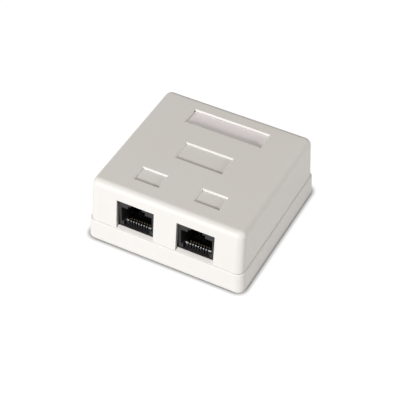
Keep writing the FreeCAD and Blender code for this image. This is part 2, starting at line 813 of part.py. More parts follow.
def makeContact(side, index):
    # a stamped strip: solder pin, heel, run under the carrier, front bend and the sprung arm
    body = newBody("%s_contact_%d" % (side, index + 1), portX(side) + contactX(index))
    half = mm.wireThick / 2
    foot = boardBottom - mm.pinLength
    pinY = pinRow(index)
    runZ = boardTop + mm.wireLift
    heel = (pinY - mm.heelBevel, runZ - mm.heelBevel)
    bend = (carrierFront + mm.wireSetback + mm.wireBend, runZ + mm.wireBend)
    rise = ofAngle("sin", mm.armAngle)
    advance = ofAngle("cos", mm.armAngle)

    def besideArm(radius, along):
        # a point of the arm, by its distance from the bend's centre line and its place along the arm
        return (bend[0] - radius * rise + along * advance, bend[1] + radius * advance + along * rise)

    inner = mm.wireBend - half
    outer = mm.wireBend + half
    armLength = (jackFront + mm.armEnd - bend[0] + mm.wireBend * rise) / advance
    outline = newSketch(body, "YZ_Plane", -mm.wireWidth / 2)
    run(outline, (pinY + half, foot), [
        ((pinY + half, heel[1]),),
        ((heel[0], runZ + half),),
        ((bend[0], runZ + half),),
        (besideArm(inner, 0), bend, inner),
        (besideArm(inner, armLength),),
        (besideArm(outer, armLength),),
        (besideArm(outer, 0),),
        ((bend[0], runZ - half), bend, outer),
        ((heel[0], runZ - half),),
        ((pinY - half, heel[1]),),
        ((pinY - half, foot),),
        ((pinY + half, foot),),
    ])
    extrude("Pad", outline, mm.wireWidth)


# ---- punch-down blocks ----

def makeBlock(side):
    body = newBody(side + "_punchdown_block", portX(side))
    bind(body, "Placement.Base.y", blockMiddle)
    blockTop = boardTop + mm.blockHeight
    profile = newSketch(body, "YZ_Plane", -mm.blockWidth / 2)
    end = mm.blockLength / 2
    valley = mm.blockValleyWidth / 2
    valleyFloor = blockTop - mm.blockValleyDepth
    halves = [(end, boardTop), (end, blockTop - mm.blockBevel), (end - mm.blockBevel, blockTop),
              (valley + mm.blockBevel, blockTop), (valley, blockTop - mm.blockBevel), (valley, valleyFloor)]
    polygon(profile, halves + [(-y, z) for y, z in reversed(halves)])
    extrude("Pad", profile, mm.blockWidth)

    x = terminalX(0)
    slot = newSketch(body, "XZ_Plane", end + cutOver)
    half = mm.wireSlotWidth / 2
    slotFloor = blockTop - mm.wireSlotDepth
    leadFloor = blockTop - 2 * mm.wireSlotLead
    polygon(slot, [(x - half, slotFloor), (x + half, slotFloor), (x + half, leadFloor),
                   (x + half + mm.wireSlotLead, blockTop), (x - half - mm.wireSlotLead, blockTop),
                   (x - half, leadFloor)])
    repeat(extrude("Pocket", slot, mm.blockLength + 2 * cutOver), "X_Axis", blockColumns, mm.blockPitch)
    slits = newSketch(body, "XY_Plane", blockTop)
    for sign in sides.values():
        centredRectangle(slits, x, sign * mm.blockRowGap / 2, mm.terminalWidth + 2 * mm.slitFit,
                         mm.terminalThick + 2 * mm.slitFit)
    repeat(extrude("Pocket", slits, mm.blockHeight + cutOver), "X_Axis", blockColumns, mm.blockPitch)


def makeTerminal(side, number, column, row):
    body = newBody("%s_terminal_%d" % (side, number), portX(side) + terminalX(column))
    bind(body, "Placement.Base.y", blockMiddle + row * mm.blockRowGap / 2)
    outline = newSketch(body, "XZ_Plane", -mm.terminalThick / 2)
    top = boardTop + mm.terminalHeight
    lead = mm.terminalSlot / 2 + mm.terminalLead
    halves = [(mm.terminalPin / 2, boardBottom - mm.pinLength), (mm.terminalPin / 2, boardTop),
              (mm.terminalWidth / 2, boardTop), (mm.terminalWidth / 2, top), (lead, top),
              (mm.terminalSlot / 2, top - 2 * mm.terminalLead), (mm.terminalSlot / 2, top - mm.terminalSlotDepth)]
    polygon(outline, halves + [(-x, z) for x, z in reversed(halves)])
    extrude("Pad", outline, mm.terminalThick)


def makeAll():
    makeBase()
    makeCover()
    makeLabel()
    makeBoard()
    makeScrew("front_board_screw", frontScrewY)
    makeScrew("rear_board_screw", rearScrewY)
    for side in sides:
        makeJackHousing(side)
        makeCarrier(side)
        for index in range(contactCount):
            makeContact(side, index)
        makeBlock(side)
        places = [(column, row) for row in sides.values() for column in range(blockColumns)]
        for number, (column, row) in enumerate(places, 1):
            makeTerminal(side, number, column, row)


makeAll()
doc.recompute()
for item in doc.Objects:
    if "Invalid" in item.State or "Error" in item.State:
        raise RuntimeError("%s: %s" % (item.Label, item.State))
for piece in pieces:
    if piece.Shape.isNull() or not piece.Shape.isValid():
        raise RuntimeError("%s has no valid shape" % piece.Label)
for piece in pieces:
    piece.Shape.exportStep("parts/%s.step" % piece.Label)
    box = piece.Shape.optimalBoundingBox()
    print("%-24s solids %d  volume %9.3f  x %7.2f %7.2f  y %7.2f %7.2f  z %6.2f %6.2f" % (
        piece.Label, len(piece.Shape.Solids), piece.Shape.Volume,
        box.XMin, box.XMax, box.YMin, box.YMax, box.ZMin, box.ZMax))
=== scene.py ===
import json
import math

import bmesh
import bpy
import numpy as np
from mathutils import Matrix, Vector

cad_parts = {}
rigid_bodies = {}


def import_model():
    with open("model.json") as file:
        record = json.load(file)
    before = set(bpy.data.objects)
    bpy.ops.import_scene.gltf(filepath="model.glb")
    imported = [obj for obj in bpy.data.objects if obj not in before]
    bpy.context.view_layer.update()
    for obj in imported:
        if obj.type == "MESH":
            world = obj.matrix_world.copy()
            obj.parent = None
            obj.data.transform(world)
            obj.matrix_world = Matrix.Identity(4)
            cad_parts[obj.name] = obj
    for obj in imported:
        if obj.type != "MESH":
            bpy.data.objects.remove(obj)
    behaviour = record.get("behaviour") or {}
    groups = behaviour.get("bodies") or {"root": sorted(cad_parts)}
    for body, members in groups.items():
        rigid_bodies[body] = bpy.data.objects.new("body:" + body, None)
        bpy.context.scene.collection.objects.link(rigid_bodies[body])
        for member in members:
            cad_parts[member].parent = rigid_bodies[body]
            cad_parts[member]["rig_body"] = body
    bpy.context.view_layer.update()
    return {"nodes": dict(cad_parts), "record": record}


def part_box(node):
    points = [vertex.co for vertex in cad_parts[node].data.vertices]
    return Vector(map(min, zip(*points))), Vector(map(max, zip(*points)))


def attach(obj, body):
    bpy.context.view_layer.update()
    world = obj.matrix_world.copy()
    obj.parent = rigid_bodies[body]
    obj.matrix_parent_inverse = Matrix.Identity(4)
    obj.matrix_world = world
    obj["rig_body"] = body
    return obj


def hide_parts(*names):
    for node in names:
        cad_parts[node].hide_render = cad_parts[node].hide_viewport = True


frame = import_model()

# A two-port surface mount jack box in white moulded plastic, with black sockets and a clear label window.


# shader maths: a socket that can be added, multiplied and compared

class Value:
    def __init__(self, paint, socket):
        self.paint = paint
        self.socket = socket

    def maths(self, operation, other=None, swapped=False):
        inputs = [self] if other is None else ([other, self] if swapped else [self, other])
        return self.paint.node("ShaderNodeMath", {"operation": operation}, inputs)

    def __add__(self, other):
        return self.maths("ADD", other)

    __radd__ = __add__

    def __mul__(self, other):
        return self.maths("MULTIPLY", other)

    __rmul__ = __mul__

    def __sub__(self, other):
        return self.maths("SUBTRACT", other)

    def __rsub__(self, other):
        return self.maths("SUBTRACT", other, swapped=True)

    def __gt__(self, other):
        return self.maths("GREATER_THAN", other)

    def absolute(self):
        return self.maths("ABSOLUTE")

    def clamped(self):
        return self.paint.node("ShaderNodeClamp", {}, [self, 0.0, 1.0])

    def contrast(self, gain):
        # stretched by gain about its middle, one half, and kept from 0 to 1
        return (self * gain - (gain - 1) / 2).clamped()

    def about(self, middle, spread):
        # moved from its own middle, one half, to another, and spread that far from end to end
        return middle + (self - 0.5) * spread


bevelSamples = 6


class Paint:
    # the nodes of one material or world: node() adds any node, its settings first and then its values or links
    def __init__(self, holder):
        self.holder = holder
        holder.use_nodes = True
        self.tree = holder.node_tree
        self.tree.nodes.clear()

    def node(self, kind, settings, inputs, output=0):
        made = self.tree.nodes.new(kind)
        for key, setting in settings.items():
            setattr(made, key, setting)
        pairs = inputs.items() if isinstance(inputs, dict) else enumerate(inputs)
        for key, given in pairs:
            if isinstance(given, Value):
                self.tree.links.new(given.socket, made.inputs[key])
            else:
                made.inputs[key].default_value = given
        return Value(self, made.outputs[output]) if made.outputs else None

    def place(self):
        return self.node("ShaderNodeTexCoord", {}, [], "Object")

    def stretched(self, scale):
        return self.node("ShaderNodeMapping", {}, {"Vector": self.place(), "Scale": scale})

    def noise(self, size, detail, rough, place=None):
        # smooth noise from 0 to 1 whose lumps are about size metres wide
        return self.node("ShaderNodeTexNoise", {}, {
            "Vector": place or self.place(), "Scale": 0.5 / size, "Detail": detail, "Roughness": rough})

    def between(self, factor, first, second):
        return self.node("ShaderNodeMix", {"data_type": "RGBA"}, {0: factor, 6: first, 7: second}, 2)

    def openness(self, reach, samples):
        # 1 in the open, less where another face lies within reach
        return self.node("ShaderNodeAmbientOcclusion", {"samples": samples}, {"Distance": reach}, "AO")

    def bumped(self, height, depth, rounding=0.0):
        # a height from 0 to 1 that stands depth metres proud, over edges rounded by a small radius
        inputs = {"Height": height, "Distance": depth}
        if rounding:
            inputs["Normal"] = self.node("ShaderNodeBevel", {"samples": bevelSamples}, {"Radius": rounding})
        return self.node("ShaderNodeBump", {}, inputs)

    def finish(self, **sockets):
        surface = self.node("ShaderNodeBsdfPrincipled", {}, {
            key.replace("_", " "): given for key, given in sockets.items()})
        return self.output("ShaderNodeOutputMaterial", surface)

    def output(self, kind, surface):
        self.node(kind, {}, {"Surface": surface})
        return self.holder


def newPaint(name):
    return Paint(bpy.data.materials.new(name))


def linear(red, green, blue):
    # a colour as it is seen, from 0 to 255, turned to the light's own scale by the standard screen curve
    scaled = np.array([red, green, blue]) / 255
    curved = np.where(scaled <= 0.04045, scaled / 12.92, ((scaled + 0.055) / 1.055) ** 2.4)
    return tuple(curved.tolist()) + (1.0,)


# finishes: each noise is given by the width of its lumps in metres, its detail and its roughness

caseFinish = {
    "colour": linear(241, 241, 240),
    "aged": linear(238, 237, 234),
    "cloud": (0.018, 3.0, 0.5),
    "contrast": 1.6,
    "roughness": 0.50,
    "roughnessSpread": 0.10,
    "ior": 1.5,
    "gloss": 0.40,
    "sink": (0.006, 2.0, 0.5),
    "grain": (0.00022, 3.0, 0.6),
    "grainShare": 0.8,
    "grainDepth": 0.000004,
    "edge": 0.0003,
    # painted shade: the dull brown that close gaps and corners are darkened towards, how near it reaches and how
    # strongly
    "paintedShade": linear(128, 118, 104),
    "paintedShadeReach": 0.0010,
    "paintedShadeSamples": 8,
    "paintedShadeAmount": 0.65,
    "paintedShadeStart": 0.15,
}


def casePlastic():
    paint = newPaint("casePlastic")
    cloud = paint.noise(*caseFinish["cloud"])
    sink = paint.noise(*caseFinish["sink"])
    grain = paint.noise(*caseFinish["grain"])
    tone = paint.between(cloud.contrast(caseFinish["contrast"]), caseFinish["colour"], caseFinish["aged"])
    # painted shade: the colour is darkened towards a dull brown where two faces lie close together, in seams, gaps
    # and recess corners
    clear = paint.openness(caseFinish["paintedShadeReach"], caseFinish["paintedShadeSamples"])
    paintedShade = ((1 - clear - caseFinish["paintedShadeStart"]) * caseFinish["paintedShadeAmount"]).clamped()
    relief = grain * caseFinish["grainShare"] + sink * (1 - caseFinish["grainShare"])
    return paint.finish(
        Base_Color=paint.between(paintedShade, tone, caseFinish["paintedShade"]),
        Roughness=sink.about(caseFinish["roughness"], caseFinish["roughnessSpread"]),
        IOR=caseFinish["ior"],
        Specular_IOR_Level=caseFinish["gloss"],
        Normal=paint.bumped(relief, caseFinish["grainDepth"], caseFinish["edge"]),
    )


jackFinish = {
    "colour": linear(47, 47, 48),
    "worn": linear(55, 55, 56),
    "cloud": (0.004, 3.0, 0.5),
    "contrast": 1.8,
    "roughness": 0.45,
    "carrierRoughness": 0.25,
    "roughnessSpread": 0.12,
    "ior": 1.5,
    "gloss": 0.22,
    "carrierGloss": 0.20,
    "grain": (0.00016, 2.0, 0.6),
    "grainDepth": 0.000003,
    "edge": 0.00012,
}


def jackPlastic(name, roughness, gloss):
    paint = newPaint(name)
    cloud = paint.noise(*jackFinish["cloud"])
    grain = paint.noise(*jackFinish["grain"])
    return paint.finish(
        Base_Color=paint.between(cloud.contrast(jackFinish["contrast"]), jackFinish["colour"], jackFinish["worn"]),
        Roughness=cloud.about(roughness, jackFinish["roughnessSpread"]),
        IOR=jackFinish["ior"],
        Specular_IOR_Level=gloss,
        Normal=paint.bumped(grain, jackFinish["grainDepth"], jackFinish["edge"]),
    )


metalFinish = {
    "lines": (0.0002, 2.0, 0.6),
    "lineDepth": 0.000001,
    "cloud": (0.0012, 3.0, 0.5),
    "contrast": 1.7,
    "roughnessSpread": 0.08,
    "plates": {
        # painted shade: the gold is given a far darker colour than bright plating, for contacts that lie in the dark
        # inside the sockets
        "goldPlate": {"bright": linear(100, 86, 64), "dull": linear(78, 67, 50),
                      "roughness": 0.08, "streak": (9.0, 1.0, 1.0)},
        "tinPlate": {"bright": linear(205, 204, 200), "dull": linear(172, 171, 168),
                     "roughness": 0.30, "streak": (9.0, 9.0, 1.0)},
        "zincPlate": {"bright": linear(196, 197, 198), "dull": linear(158, 158, 156),
                      "roughness": 0.28, "streak": (1.0, 1.0, 9.0)},
    },
}


def plated(name):
    # plated metal: drawing lines run along the strip and the tarnish gathers in clouds
    paint = newPaint(name)
    plate = metalFinish["plates"][name]
    lines = paint.noise(*metalFinish["lines"], paint.stretched(plate["streak"]))
    cloud = paint.noise(*metalFinish["cloud"])
    return paint.finish(
        Base_Color=paint.between(cloud.contrast(metalFinish["contrast"]), plate["bright"], plate["dull"]),
        Metallic=1.0,
        Roughness=plate["roughness"] + cloud * metalFinish["roughnessSpread"],
        Normal=paint.bumped(lines, metalFinish["lineDepth"]),
    )


boardFinish = {
    "mask": linear(24, 92, 52),
    "maskDark": linear(15, 70, 40),
    "maskRoughness": 0.28,
    "cloud": (0.005, 3.0, 0.5),
    "weave": 0.0005,
    "weaveDepth": 0.000006,
    "edge": linear(150, 140, 92),
    "edgeRoughness": 0.62,
    "flatFrom": 0.5,
    "ior": 1.5,
}


def boardMask():
    # green solder mask over a glass weave; the sawn edge shows the bare laminate
    paint = newPaint("boardMask")
    x, y = (paint.node("ShaderNodeSeparateXYZ", {}, [paint.place()], axis) for axis in (0, 1))
    wave = 2 * math.pi / boardFinish["weave"]
    # the product of two sine waves, brought from -1..1 to 0..1
    cloth = (x * wave).maths("SINE") * (y * wave).maths("SINE") * 0.5 + 0.5
    cloud = paint.noise(*boardFinish["cloud"])
    upward = paint.node("ShaderNodeSeparateXYZ", {}, [
        paint.node("ShaderNodeNewGeometry", {}, [], "Normal")], 2)
    flat = upward.absolute() > boardFinish["flatFrom"]
    mask = paint.between(cloud, boardFinish["mask"], boardFinish["maskDark"])
    smoother = boardFinish["edgeRoughness"] - boardFinish["maskRoughness"]
    return paint.finish(
        Base_Color=paint.between(flat, boardFinish["edge"], mask),
        Roughness=boardFinish["edgeRoughness"] - flat * smoother,
        IOR=boardFinish["ior"],
        Normal=paint.bumped(cloth, boardFinish["weaveDepth"]),
    )


blockFinish = {
    "colour": linear(214, 210, 198),
    "dull": linear(200, 195, 181),
    "cloud": (0.004, 3.0, 0.5),
    "roughness": 0.5,
    "roughnessSpread": 0.15,
    "glow": 0.1,
    "glowRadius": (0.0006, 0.0005, 0.0004),
    "grain": (0.0002, 2.0, 0.6),
    "grainDepth": 0.000004,
    "edge": 0.00015,
}


def blockPlastic():
    # pale plastic that lets a little light through
    paint = newPaint("blockPlastic")
    cloud = paint.noise(*blockFinish["cloud"])
    grain = paint.noise(*blockFinish["grain"])
    return paint.finish(
        Base_Color=paint.between(cloud, blockFinish["colour"], blockFinish["dull"]),
        Roughness=cloud.about(blockFinish["roughness"], blockFinish["roughnessSpread"]),
        Subsurface_Weight=blockFinish["glow"],
        Subsurface_Radius=blockFinish["glowRadius"],
        Subsurface_Scale=1.0,
        Normal=paint.bumped(grain, blockFinish["grainDepth"], blockFinish["edge"]),
    )


cardFinish = {
    "colour": linear(253, 250, 250),
    "fibreColour": linear(246, 242, 243),
    "fibre": (0.0005, 4.0, 0.65),
    "fibreStretch": (1.0, 3.2, 1.0),
    "fibreContrast": 2.2,
    "fibreShare": 0.6,
    "felt": (0.00018, 2.0, 0.5),
    "depth": 0.00002,
    "roughness": 0.85,
    "roughnessSpread": 0.1,
    "ior": 1.45,
}


def cardPaper():
    # short fibres laid at random over a fine felt
    paint = newPaint("cardPaper")
    fibre = paint.noise(*cardFinish["fibre"], paint.stretched(cardFinish["fibreStretch"]))
    felt = paint.noise(*cardFinish["felt"])
    tone = fibre.contrast(cardFinish["fibreContrast"])
    relief = fibre * cardFinish["fibreShare"] + felt * (1 - cardFinish["fibreShare"])
    return paint.finish(
        Base_Color=paint.between(tone, cardFinish["colour"], cardFinish["fibreColour"]),
        Roughness=cardFinish["roughness"] - fibre * cardFinish["roughnessSpread"],
        IOR=cardFinish["ior"],
        Normal=paint.bumped(relief, cardFinish["depth"]),
    )


windowFinish = {
    "colour": linear(255, 249, 252),
    "cloud": (0.004, 2.0, 0.5),
    "cloudDepth": 0.00003,
    "haze": 0.78,
    "slant": 0.15,
    "slantBlend": 0.35,
    "roughness": 0.06,
    "roughnessSpread": 0.05,
    "ior": 1.58,
    "gloss": 1.0,
    "polish": 1.0,
    "polishRoughness": 0.05,
    "polishIor": 1.7,
}


def windowPlastic():
    # hazy clear sheet: it hides more where it is looked through at a slant
    paint = newPaint("windowPlastic")
    slant = paint.node("ShaderNodeLayerWeight", {}, {"Blend": windowFinish["slantBlend"]}, "Facing")
    cloud = paint.noise(*windowFinish["cloud"])
    return paint.finish(
        Base_Color=windowFinish["colour"],
        Roughness=windowFinish["roughness"] + cloud * windowFinish["roughnessSpread"],
        IOR=windowFinish["ior"],
        Specular_IOR_Level=windowFinish["gloss"],
        Coat_Weight=windowFinish["polish"],
        Coat_Roughness=windowFinish["polishRoughness"],
        Coat_IOR=windowFinish["polishIor"],
        Alpha=(windowFinish["haze"] + slant * windowFinish["slant"]).clamped(),
        Normal=paint.bumped(cloud, windowFinish["cloudDepth"]),
    )


printFinish = {
    "cloud": (0.0012, 3.0, 0.6),
    "contrast": 2.0,
    "roughnessSpread": 0.1,
    "depth": 0.000006,
    "ior": 1.5,
    "layers": {
        "maskedCopper": {"thick": linear(46, 124, 74), "thin": linear(34, 106, 62), "roughness": 0.28},
        "boardInk": {"thick": linear(226, 226, 218), "thin": linear(196, 200, 188), "roughness": 0.55},
    },
}


def coatedInk(name):
    # a screened layer that lies a little unevenly: thin where the cloud is low
    paint = newPaint(name)
    layer = printFinish["layers"][name]
    cloud = paint.noise(*printFinish["cloud"])
    return paint.finish(
        Base_Color=paint.between(cloud.contrast(printFinish["contrast"]), layer["thin"], layer["thick"]),
        Roughness=cloud.about(layer["roughness"], printFinish["roughnessSpread"]),
        IOR=printFinish["ior"],
        Normal=paint.bumped(cloud, printFinish["depth"]),
    )


print("stage: finishes")
finishes = {
    "case_plastic": casePlastic(),
    "jack_plastic": jackPlastic("jackPlastic", jackFinish["roughness"], jackFinish["gloss"]),
    "carrier_plastic": jackPlastic("carrierPlastic", jackFinish["carrierRoughness"], jackFinish["carrierGloss"]),
    "contact_metal": plated("goldPlate"),
    "terminal_metal": plated("tinPlate"),
    "screw_metal": plated("zincPlate"),
    "board": boardMask(),
    "block_plastic": blockPlastic(),
    "card": cardPaper(),
    "window_plastic": windowPlastic(),
}
maskedCopper = coatedInk("maskedCopper")
boardInk = coatedInk("boardInk")
slotOf = {part["node"]: part["material_slot"] for part in frame["record"]["subparts"]}
bodyOf = {node: thing["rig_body"] for node, thing in frame["nodes"].items()}


def coat(thing, slot):
    thing.data.materials.clear()
    thing.data.materials.append(finishes[slot])


# grid surfaces: rows of closed loops joined into skins

def netFaces(rows, columns):
    # four-sided faces between neighbouring loops; the last point of a loop joins the first
    row, column = np.meshgrid(np.arange(rows - 1), np.arange(columns), indexing="ij")
    near = row * columns + column
    far = row * columns + (column + 1) % columns
    return np.stack([near, far, far + columns, near + columns], axis=-1).reshape(-1, 4)


def gridPiece(name, grids, body, material, crease):
    # every grid is (loops, points, 3), its loops run anticlockwise about the way they go, and its ends are capped
    points, faces, start = [], [], 0
    for grid in grids:
        rows, columns = grid.shape[:2]
        ring = np.arange(columns) + start
        faces += (netFaces(rows, columns) + start).tolist() + [ring[::-1].tolist()]
        faces.append((ring + (rows - 1) * columns).tolist())
        points.append(grid.reshape(-1, 3))
        start += rows * columns
    mesh = bpy.data.meshes.new(name)
    mesh.from_pydata(np.concatenate(points).tolist(), [], faces)
    mesh.shade_smooth()
    mesh.set_sharp_from_angle(angle=math.radians(crease))
    mesh.materials.append(material)
    piece = bpy.data.objects.new(name, mesh)
    bpy.context.scene.collection.objects.link(piece)
    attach(piece, body)
    return piece


def strips(paths, width, edge, low, height):
    # a shallow four-cornered profile carried along flat paths, given as (count, points, 2): at each bend the profile
    # stands on the mean of the two side directions, lengthened by one over the cosine of half the bend
    runs = np.diff(paths, axis=1)
    ahead = runs / np.linalg.norm(runs, axis=2, keepdims=True)
    side = np.stack([-ahead[..., 1], ahead[..., 0]], axis=-1)
    before = np.concatenate([side[:, :1], side], axis=1)
    after = np.concatenate([side, side[:, -1:]], axis=1)
    mitre = (before + after) / (1 + (before * after).sum(-1, keepdims=True))
    across = np.array([width / 2, width / 2 - edge, edge - width / 2, -width / 2])
    above = low + np.array([0, height, height, 0])
    flat = paths[:, :, None, :] + mitre[:, :, None, :] * across[None, None, :, None]
    return np.concatenate([flat, np.broadcast_to(above[None, None, :, None], flat.shape[:3] + (1,))], axis=-1)


def discs(centres, radius, edge, low, height, sides):
    # low rounded discs: a circle of each radius at each height, about every centre
    turn = np.linspace(0, 2 * math.pi, sides, endpoint=False)
    circle = np.column_stack([np.cos(turn), np.sin(turn)])
    across = np.array([radius, radius, radius - edge])
    above = low + np.array([0, height - edge / 2, height])
    flat = np.array(centres)[:, None, None, :] + across[None, :, None, None] * circle[None, None, :, :]
    return np.concatenate([flat, np.broadcast_to(above[None, :, None, None], flat.shape[:3] + (1,))], axis=-1)


def roundedLoops(low, high, insets, heights, corner, leastCorner, steps):
    # a rectangle's outline with quarter-circle corners, moved inwards by each inset and set at each height
    middle, half = (low + high) / 2, (high - low) / 2
    turn = np.linspace(0, math.pi / 2, steps)
    angle = (np.arange(4)[:, None] * math.pi / 2 + turn[None, :]).ravel()
    signs = np.repeat(np.array([(1, 1), (-1, 1), (-1, -1), (1, -1)]), steps, axis=0)
    arc = np.column_stack([np.cos(angle), np.sin(angle)])
    radius = np.maximum(corner - insets, leastCorner)[:, None, None]
    reach = half[None, None, :] - insets[:, None, None] - radius
    flat = middle + signs[None] * reach + radius * arc[None]
    return np.concatenate([flat, np.broadcast_to(heights[:, None, None], flat.shape[:2] + (1,))], axis=-1)


# moulded skins: each solid's loose triangles joined into one smooth skin

skins = {
    "crease": {"base": 24, "cover": 24, "front_board_screw": 30, "rear_board_screw": 30},
    "merge": 1e-6,
    "sillDrop": 0.0007,
    "sillReach": 0.0006,
    "sillLow": 0.0005,
    "sillHigh": 0.0020,
    "frontDraft": 4.6,
    "directionSteps": 400,
    "offsetSteps": 2e4,
    "leastArea": 1e-15,
    "leastWeight": 1e-30,
}


def cornerNormals(corners, triangles, crease):
    # each corner's normal is the mean of the triangles that meet there within the crease angle, and each
    # triangle counts by the square of the area of the flat that it belongs to, so flats stay flat
    edge1 = corners[triangles[:, 1]] - corners[triangles[:, 0]]
    edge2 = corners[triangles[:, 2]] - corners[triangles[:, 0]]
    cross = np.cross(edge1, edge2)
    area = np.linalg.norm(cross, axis=1)
    normal = cross / np.maximum(area, skins["leastArea"])[:, None]
    offset = (normal * corners[triangles[:, 0]]).sum(1)
    # triangles whose direction and offset round to the same steps lie in one flat
    plane = np.column_stack([np.round(normal * skins["directionSteps"]), np.round(offset * skins["offsetSteps"])])
    flat = np.unique(plane, axis=0, return_inverse=True)[1].ravel()
    weight = np.bincount(flat, weights=area)[flat] ** 2
    owner = np.repeat(np.arange(len(triangles)), 3)
    vertex = triangles.ravel()
    order = np.argsort(vertex, kind="stable")
    count = np.bincount(vertex, minlength=len(corners))
    first = np.concatenate([[0], np.cumsum(count)[:-1]])
    meets = count[vertex]
    here = np.repeat(np.arange(len(vertex)), meets)
    step = np.arange(len(here)) - np.repeat(np.cumsum(meets) - meets, meets)
    other = owner[order[first[vertex[here]] + step]]
    mine = owner[here]
    close = (normal[mine] * normal[other]).sum(1) > math.cos(math.radians(crease))
    share = (weight[other] * close)[:, None] * normal[other]
    total = np.zeros((len(vertex), 3))
    np.add.at(total, here, share)
    return total / np.maximum(np.linalg.norm(total, axis=1), skins["leastWeight"])[:, None]


def slopeSills(points):
    # the sill of each opening slopes down to the front face: the corners of its outer edge slide down that face
    y, z = points[:, 1], points[:, 2]
    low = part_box("cover")[0]
    above = z - low[2]
    outside = (y < low[1] + skins["sillReach"]) & (above > skins["sillLow"]) & (above < skins["sillHigh"])
    down = skins["sillDrop"] * outside
    return points - np.column_stack([0 * down, down * math.tan(math.radians(skins["frontDraft"])), down])


def smoothSkin(node, crease):
    loose = bmesh.new()
    loose.from_mesh(frame["nodes"][node].data)
    bmesh.ops.remove_doubles(loose, verts=loose.verts, dist=skins["merge"])
    mesh = bpy.data.meshes.new(node + "_skin")
    loose.to_mesh(mesh)
    loose.free()
    corners = np.zeros(len(mesh.vertices) * 3)
    mesh.vertices.foreach_get("co", corners)
    if node == "cover":
        corners = slopeSills(corners.reshape(-1, 3)).ravel()
        mesh.vertices.foreach_set("co", corners)
    triangles = np.zeros(len(mesh.loops), int)
    mesh.loops.foreach_get("vertex_index", triangles)
    mesh.shade_smooth()
    mesh.set_sharp_from_angle(angle=math.radians(crease))
    normals = cornerNormals(corners.reshape(-1, 3), triangles.reshape(-1, 3), crease)
    mesh.normals_split_custom_set(normals.tolist())
    skin = bpy.data.objects.new(node + "_skin", mesh)
    bpy.context.scene.collection.objects.link(skin)
    coat(skin, slotOf[node])
    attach(skin, bodyOf[node])
    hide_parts(node)


print("stage: moulded skins")
for node, crease in skins["crease"].items():
    smoothSkin(node, crease)
for node, thing in frame["nodes"].items():
    if node not in skins["crease"]:
        coat(thing, slotOf[node])


# the board's copper tracks under their mask, its printed outlines and its screw pads

boardDetail = {
    "tracks": 8,
    "trackWidth": 0.00045,
    "trackEdge": 0.00005,
    "trackHeight": 0.00004,
    "pinPitch": 0.001016,
    "blockPitch": 0.00185,
    "bendMiddle": 0.48,
    "hidden": 0.0004,
    "inkWidth": 0.0002,
    "inkHeight": 0.000015,
    "margin": 0.00045,
    "padRadius": 0.0031,
    "padEdge": 0.00008,
    "padHeight": 0.00006,
    "padSides": 48,
    "dotRadius": 0.0005,
    "dotInset": 0.0016,
    "frontDotInset": 0.0096,
    "dotSides": 24,
    "crease": 30,
}


def trackPaths(side):
    # each track leaves the jack straight, crosses at 45 degrees and enters the punch-down block straight
    jackLow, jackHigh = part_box(side + "_jack_housing")
    blockLow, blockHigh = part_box(side + "_punchdown_block")
    middle = (jackLow[0] + jackHigh[0]) / 2
    place = np.arange(boardDetail["tracks"]) - (boardDetail["tracks"] - 1) / 2
    start = middle + place * boardDetail["pinPitch"]
    end = (blockLow[0] + blockHigh[0]) / 2 + place * boardDetail["blockPitch"]
    back = jackHigh[1] - boardDetail["hidden"]
    front = blockLow[1] + boardDetail["hidden"]
    bend = back + (front - back) * boardDetail["bendMiddle"]
    shift = np.abs(end - start) / 2
    x = np.stack([start, start, end, end], axis=1)
    y = np.stack([0 * start + back, bend - shift, bend + shift, 0 * start + front], axis=1)
    return np.stack([x, y], axis=-1)


def outlines(side):
    # three sides of a rectangle round the jack, open to the front, and three round the block, open to the edge
    margin = boardDetail["margin"]
    jackLow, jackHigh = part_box(side + "_jack_housing")
    blockLow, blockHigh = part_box(side + "_punchdown_block")
    boardLow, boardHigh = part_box("circuit_board")
    edge = boardHigh[0] - margin
    if side == "left":
        blockInner, blockOuter = blockHigh[0] + margin, -edge
    else:
        blockInner, blockOuter = blockLow[0] - margin, edge
    left, right = jackLow[0] - margin, jackHigh[0] + margin
    front, back = boardLow[1] + margin, jackHigh[1] + margin
    near, far = blockLow[1] - margin, blockHigh[1] + margin
    jack = [(left, front), (left, back), (right, back), (right, front)]
    block = [(blockOuter, near), (blockInner, near), (blockInner, far), (blockOuter, far)]
    return np.array([jack, block])


def makeBoardDetail():
    low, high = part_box("circuit_board")
    top, crease, body = high[2], boardDetail["crease"], bodyOf["circuit_board"]
    inset, padEdge, padHeight = boardDetail["dotInset"], boardDetail["padEdge"], boardDetail["padHeight"]
    inkHeight = boardDetail["inkHeight"]
    for side in ("left", "right"):
        tracks = strips(trackPaths(side), boardDetail["trackWidth"], boardDetail["trackEdge"],
                        top, boardDetail["trackHeight"])
        gridPiece(side + "_tracks", tracks, body, maskedCopper, crease)
        ink = strips(outlines(side), boardDetail["inkWidth"], inkHeight, top, inkHeight)
        gridPiece(side + "_outline_print", ink, body, boardInk, crease)
    screws = [np.mean(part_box(name), axis=0)[:2] for name in ("front_board_screw", "rear_board_screw")]
    pads = discs(screws, boardDetail["padRadius"], padEdge, top, padHeight, boardDetail["padSides"])
    dotPlaces = [(low[0] + inset, low[1] + boardDetail["frontDotInset"]), (high[0] - inset, high[1] - inset)]
    dots = discs(dotPlaces, boardDetail["dotRadius"], padEdge, top, padHeight, boardDetail["dotSides"])
    gridPiece("screw_pads", list(pads) + list(dots), body, finishes["terminal_metal"], crease)


print("stage: board detail")
makeBoardDetail()


# the label window: a thin polished pane with rounded edges and a shallow dish inside its rim

pane = {
    "grow": 0.00013,
    "corner": 0.0004,
    "leastCorner": 0.00008,
    "steps": 6,
    "rounding": 0.00015,
    "rim": 0.0003,
    "dish": 0.0004,
    "dishLoops": 12,
    "dishEnd": 0.96,
    "crease": 30,
}


